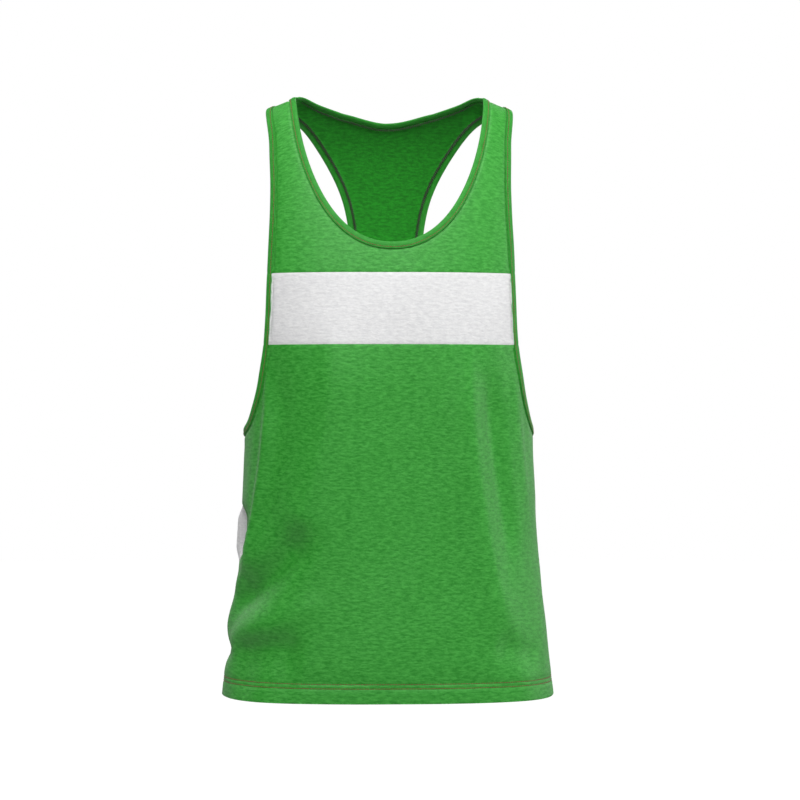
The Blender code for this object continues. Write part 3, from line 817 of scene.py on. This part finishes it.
def chain_row(name, line, normals, sideways, material):
    """The looped thread on the inside of a binding's seam: one thread that zigzags along a closed line."""
    line, normals, sideways = looped(line), looped(normals), looped(sideways)
    lengths = line_lengths(line)
    loops = round(lengths[-1] / CHAIN_PITCH)
    numbers = np.arange(loops * CHAIN_STEPS)
    places = numbers / len(numbers) * lengths[-1]
    phase = numbers / CHAIN_STEPS * 2.0 * math.pi
    swing = CHAIN_HALF * np.sin(phase) + 0.25 * np.sin(phase * 0.37 + 1.0)
    middle, aside, up = (read_along(values, lengths, places) for values in (line, sideways, normals))
    path = middle + aside * swing[:, None] + up * (0.22 * np.cos(2.0 * phase))[:, None]
    ahead = unit(np.roll(path, -1, axis=0) - np.roll(path, 1, axis=0))
    beside = unit(np.cross(up, ahead))
    up = np.cross(ahead, beside)
    turn = np.arange(CHAIN_CORNERS) / CHAIN_CORNERS * 2.0 * math.pi
    rings = (path[:, None, :] + beside[:, None, :] * np.cos(turn)[None, :, None] * THREAD
             + up[:, None, :] * np.sin(turn)[None, :, None] * THREAD)
    return make_tube(name, rings, places, turn, material)


# --- finishes -----------------------------------------------------------------------------------------


def shown_colour(red, green, blue):
    """A colour given as it looks on screen, 0 to 255, turned to the light it stands for."""
    linear = []
    for value in (red, green, blue):
        share = value / 255.0
        linear.append(share / 12.92 if share <= 0.04045 else ((share + 0.055) / 1.055)**2.4)
    return (*linear, 1.0)


def add_socket(group, name, direction, kind, default=None):
    socket = group.interface.new_socket(name=name, in_out=direction, socket_type=kind)
    if default is not None:
        socket.default_value = default
    return socket


def new_node(tree, kind, place, **settings):
    node = tree.nodes.new(kind)
    node.location = place
    for name, value in settings.items():
        setattr(node, name, value)
    return node


def set_inputs(node, values):
    """Gives inputs of a node their values, by name or by number."""
    for socket, value in values.items():
        node.inputs[socket].default_value = value


def new_finish(name):
    """A new material, with its nodes and its shader."""
    material = bpy.data.materials.new(name)
    material.use_nodes = True
    tree = material.node_tree
    return material, tree, tree.nodes["Principled BSDF"]


def heather_group():
    """Heather jersey: short pale and deep fibres that run with the knitted rows, and the knit's own relief."""
    group = bpy.data.node_groups.new("heather_jersey", "ShaderNodeTree")
    add_socket(group, "Deep fibre", "INPUT", "NodeSocketColor", (0.05, 0.2, 0.05, 1.0))
    add_socket(group, "Pale fibre", "INPUT", "NodeSocketColor", (0.2, 0.4, 0.2, 1.0))
    add_socket(group, "Contrast", "INPUT", "NodeSocketFloat", 1.0)
    add_socket(group, "Color", "OUTPUT", "NodeSocketColor")
    add_socket(group, "Height", "OUTPUT", "NodeSocketFloat")
    given = new_node(group, "NodeGroupInput", (-900, -300))
    result = new_node(group, "NodeGroupOutput", (900, 0))
    pattern = new_node(group, "ShaderNodeUVMap", (-1100, 100), uv_map="pattern")

    def combined(operation, place, *values):
        """The result of a node that combines numbers or other results."""
        node = new_node(group, "ShaderNodeMath", place, operation=operation)
        for socket, value in zip(node.inputs, values):
            if isinstance(value, float):
                socket.default_value = value
            else:
                group.links.new(value, socket)
        return node.outputs["Value"]

    def fibres(spots, share, place):
        """Noise drawn out along the knitted rows, centred on nought and scaled by its share."""
        scale = new_node(group, "ShaderNodeMapping", (-900, place))
        set_inputs(scale, {"Scale": (*spots, 1.0), "Location": (spots[0] / 37.0, spots[1] / 53.0, 0.0)})
        noise = new_node(group, "ShaderNodeTexNoise", (-700, place), noise_dimensions="2D")
        set_inputs(noise, {"Scale": 1.0, "Detail": 1.0, "Distortion": 0.25})
        group.links.new(pattern.outputs["UV"], scale.inputs["Vector"])
        group.links.new(scale.outputs["Vector"], noise.inputs["Vector"])
        centred = combined("SUBTRACT", (-500, place), noise.outputs["Fac"], 0.5)
        return combined("MULTIPLY", (-300, place), centred, share)

    streaks = combined("ADD", (-100, 400), fibres(LONG_FIBRES, 1.5, 500), fibres(SHORT_FIBRES, 1.1, 250))
    streaks = combined("ADD", (80, 300), streaks, fibres(FINE_FIBRES, 0.7, 0))
    stronger = combined("MULTIPLY_ADD", (260, 300), streaks, given.outputs["Contrast"], 0.5)
    tint = new_node(group, "ShaderNodeMix", (500, 200), data_type="RGBA")
    group.links.new(stronger, tint.inputs["Factor"])
    group.links.new(given.outputs["Deep fibre"], tint.inputs[6])
    group.links.new(given.outputs["Pale fibre"], tint.inputs[7])
    group.links.new(tint.outputs[2], result.inputs["Color"])

    # the knit's columns and rows of loops
    split = new_node(group, "ShaderNodeSeparateXYZ", (-900, -500))
    group.links.new(pattern.outputs["UV"], split.inputs["Vector"])
    loops = []
    for axis, count, place in (("X", KNIT_COLUMNS, -450), ("Y", KNIT_ROWS, -620)):
        turns = combined("MULTIPLY", (-700, place), split.outputs[axis], 2.0 * math.pi * count)
        wave = combined("SINE", (-500, place), turns)
        loops.append(combined("MULTIPLY", (-300, place), wave, 0.22))
    height = combined("ADD", (260, -300), combined("ADD", (-100, -500), *loops), streaks)
    group.links.new(height, result.inputs["Height"])
    return group


def jersey(name, group, deep, pale, contrast, sheen, roughness=0.58, relief=0.0002):
    """A heather jersey finish."""
    material, tree, shader = new_finish(name)
    cloth = new_node(tree, "ShaderNodeGroup", (-520, 100), node_tree=group)
    set_inputs(cloth, {"Deep fibre": deep, "Pale fibre": pale, "Contrast": contrast})
    bump = new_node(tree, "ShaderNodeBump", (-260, -200))
    set_inputs(bump, {"Strength": 0.6, "Distance": relief})
    tree.links.new(cloth.outputs["Color"], shader.inputs["Base Color"])
    tree.links.new(cloth.outputs["Height"], bump.inputs["Height"])
    tree.links.new(bump.outputs["Normal"], shader.inputs["Normal"])
    set_inputs(shader, {"Roughness": roughness, "Specular IOR Level": 0.5, "Sheen Weight": sheen,
                        "Sheen Roughness": 0.45})
    return material


def thread_finish(name, colour, deep):
    """Spun sewing thread, mottled between two colours."""
    material, tree, shader = new_finish(name)
    pattern = new_node(tree, "ShaderNodeUVMap", (-900, 0), uv_map="pattern")
    ply = new_node(tree, "ShaderNodeTexNoise", (-680, 0), noise_dimensions="2D")
    set_inputs(ply, {"Scale": 900.0})
    tint = new_node(tree, "ShaderNodeMix", (-420, 0), data_type="RGBA")
    set_inputs(tint, {6: deep, 7: colour})
    tree.links.new(pattern.outputs["UV"], ply.inputs["Vector"])
    tree.links.new(ply.outputs["Fac"], tint.inputs["Factor"])
    tree.links.new(tint.outputs[2], shader.inputs["Base Color"])
    set_inputs(shader, {"Roughness": 0.6, "Sheen Weight": 0.2})
    return material


# --- stage --------------------------------------------------------------------------------------------


def add_camera():
    right = Vector((math.cos(CAMERA_TURN), -math.sin(CAMERA_TURN), 0.0))
    ahead = Vector((math.sin(CAMERA_TURN), math.cos(CAMERA_TURN), 0.0))
    data = bpy.data.cameras.new("camera")
    data.lens = LENS
    data.sensor_width = SENSOR
    data.clip_end = 60.0
    camera = bpy.data.objects.new("camera", data)
    bpy.context.scene.collection.objects.link(camera)
    place = right * CAMERA_SIDESTEP - ahead * CAMERA_DISTANCE
    up = Vector((0.0, 0.0, 1.0))
    turned = Matrix((right, up, -ahead)).transposed().to_4x4()
    camera.matrix_world = Matrix.Translation((place.x, place.y, CAMERA_HEIGHT)) @ turned
    bpy.context.scene.camera = camera


def add_softbox(name, turn, rise, power):
    """A soft square light at a direction from the middle of the vest, facing it."""
    data = bpy.data.lights.new(name, "AREA")
    data.shape = "SQUARE"
    data.size = SOFTBOX_SIZE
    data.energy = power
    lamp = bpy.data.objects.new(name, data)
    bpy.context.scene.collection.objects.link(lamp)
    turn, rise = math.radians(turn), math.radians(rise)
    away = Vector((math.cos(rise) * math.sin(turn), -math.cos(rise) * math.cos(turn), math.sin(rise)))
    lamp.location = away * SOFTBOX_DISTANCE + Vector((0.0, 0.0, CAMERA_HEIGHT))
    lamp.rotation_euler = away.to_track_quat("Z", "Y").to_euler()


def add_camera_level(tree, unseen, seen, strength):
    """Sets a strength that has one value where the camera looks and another for the light it sheds."""
    path = new_node(tree, "ShaderNodeLightPath", (-600, -200))
    level = new_node(tree, "ShaderNodeMapRange", (-300, -200))
    set_inputs(level, {"To Min": unseen, "To Max": seen})
    tree.links.new(path.outputs["Is Camera Ray"], level.inputs["Value"])
    tree.links.new(level.outputs["Result"], strength)


def add_stage():
    bpy.ops.object.select_all(action="DESELECT")
    bpy.ops.mesh.primitive_circle_add(vertices=96, radius=FLOOR_RADIUS, fill_type="NGON",
                                      location=(0.0, 0.0, FLOOR_LEVEL))
    floor = bpy.context.object
    floor.name = "floor"
    material, tree, shader = new_finish("pale_floor")
    set_inputs(shader, {"Base Color": (0.4, 0.4, 0.4, 1.0), "Roughness": 0.9, "Emission Color": (1.0, 1.0, 1.0, 1.0)})
    # the sweep glows softly, and is blown out to white where the camera sees it
    add_camera_level(tree, FLOOR_GLOW, 1.0, shader.inputs["Emission Strength"])
    floor.data.materials.append(material)
    world = bpy.data.worlds.new("studio")
    world.use_nodes = True
    tree = world.node_tree
    background = tree.nodes["Background"]
    background.inputs["Color"].default_value = (1.0, 1.0, 1.0, 1.0)
    # the backdrop is seen as white, and lights the cloth softly
    add_camera_level(tree, SURROUND_LIGHT, 1.0, background.inputs["Strength"])
    bpy.context.scene.world = world
    bpy.context.scene.view_settings.view_transform = "Standard"


# --- making the vest ----------------------------------------------------------------------------------


def declare_panel(piece, node):
    """Says what a panel is: which solid it stands for, which is hidden, and how it moves, with the root body."""
    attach(piece, "root")
    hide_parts(node)


def declare_binding(piece, node):
    """Says what a binding is: which solid it stands for, which is hidden, and how it moves, with the root body."""
    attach(piece, "root")
    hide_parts(node)


def declare_sewing(piece):
    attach(piece, "root")


add_camera()
add_stage()
for softbox in SOFTBOXES:
    add_softbox(*softbox)

heather = heather_group()
green_jersey = jersey("green_heather_jersey", heather, shown_colour(8, 125, 6), shown_colour(54, 155, 48), 1.0, 0.1)
# the green inner face is darker and deeper in colour: partly the jersey's own wrong side, partly painted shade of the
# hollow inside the vest
green_inside_painted_shade = jersey("green_jersey_wrong_side_painted_shade", heather, shown_colour(0, 112, 0), shown_colour(22, 142, 20),
                      1.15, 0.0, roughness=0.9)
white_jersey = jersey("pale_heather_jersey", heather, shown_colour(201, 201, 202), shown_colour(217, 217, 217),
                      1.0, 0.1)
white_inside = jersey("pale_jersey_wrong_side", heather, shown_colour(216, 217, 217), shown_colour(234, 234, 234),
                      1.0, 0.05)
green_binding = jersey("green_binding", heather, shown_colour(0, 120, 0), shown_colour(30, 142, 26), 0.8, 0.05,
                       roughness=0.65)
brown_thread = thread_finish("brown_thread", shown_colour(128, 70, 32), shown_colour(82, 44, 16))
dark_thread = thread_finish("dark_seam_thread", shown_colour(44, 66, 30), shown_colour(16, 36, 14))

neck, neck_lines = neck_edge()
armholes = {side: armhole_edge(side) for side in (1, -1)}
front_arms = {side: line for side, (_, line) in armholes.items()}
back_arms = {side: line[::-1] for side, line in front_arms.items()}
back_necks = {side: line[::-1] for side, line in neck_lines.items()}
half_gap = SEAM_GAP / 2.0
bound_lines = [joined(neck_lines[1], mirrored(neck_lines[-1])), front_arms[1], mirrored(front_arms[-1])]

panels = (
    ("front_yoke", "jersey", yoke_outline(neck_lines, front_arms, CHEST_BAND_TOP - half_gap, SHOULDER_SEAM + half_gap)),
    ("chest_band", "contrast_jersey",
     full_width_outline(front_arms, CHEST_BAND_TOP + half_gap, CHEST_BAND_FOOT - half_gap)),
    ("front_body", "jersey", full_width_outline(front_arms, CHEST_BAND_FOOT + half_gap, BODY_LENGTH)),
    ("back_yoke", "jersey", yoke_outline(back_necks, back_arms, BACK_BAND_TOP + half_gap, SHOULDER_SEAM - half_gap)),
    ("back_band", "contrast_jersey",
     full_width_outline(back_arms, BACK_BAND_TOP - half_gap, BACK_BAND_FOOT + half_gap)),
    ("back_body", "jersey", full_width_outline(back_arms, BACK_BAND_FOOT - half_gap, -BODY_LENGTH)),
)
for node, slot, outline in panels:
    outside, inside = (green_jersey, green_inside_painted_shade) if slot == "jersey" else (white_jersey, white_inside)
    panel = make_panel(node + "_cloth", outline, bound_lines, outside, inside)
    declare_panel(panel, node)

edges = (("neck_binding", neck), ("armhole_binding_right", armholes[1][0]), ("armhole_binding_left", armholes[-1][0]))
for node, edge in edges:
    points, normals, inward = edge
    binding = make_binding(node + "_cloth", edge, green_binding)
    declare_binding(binding, node)
    on_top = points + inward * BINDING_STITCH + normals * (TOPSTITCH_LIFT + THREAD_SEAT * THREAD)
    declare_sewing(stitch_row(node + "_topstitch", on_top, normals, True, brown_thread))
    below = points + inward * CHAIN_PLACE - normals * CHAIN_DROP
    declare_sewing(chain_row(node + "_inside_seam", below, normals, inward, dark_thread))

for face, name in ((1.0, "front"), (-1.0, "back")):
    for row, height in enumerate(HEM_STITCHES):
        across = np.linspace(-SIDE_SEAM + HEM_LINE_END, SIDE_SEAM - HEM_LINE_END, HEM_LINE_SPOTS)
        along = np.full(len(across), face * (BODY_LENGTH - height))
        outward = cloth_normals(across, along)
        line = cloth_points(across, along) + outward * THREAD_SEAT * THREAD
        declare_sewing(stitch_row(f"hem_topstitch_{name}_{row + 1}", line, outward, False, brown_thread))
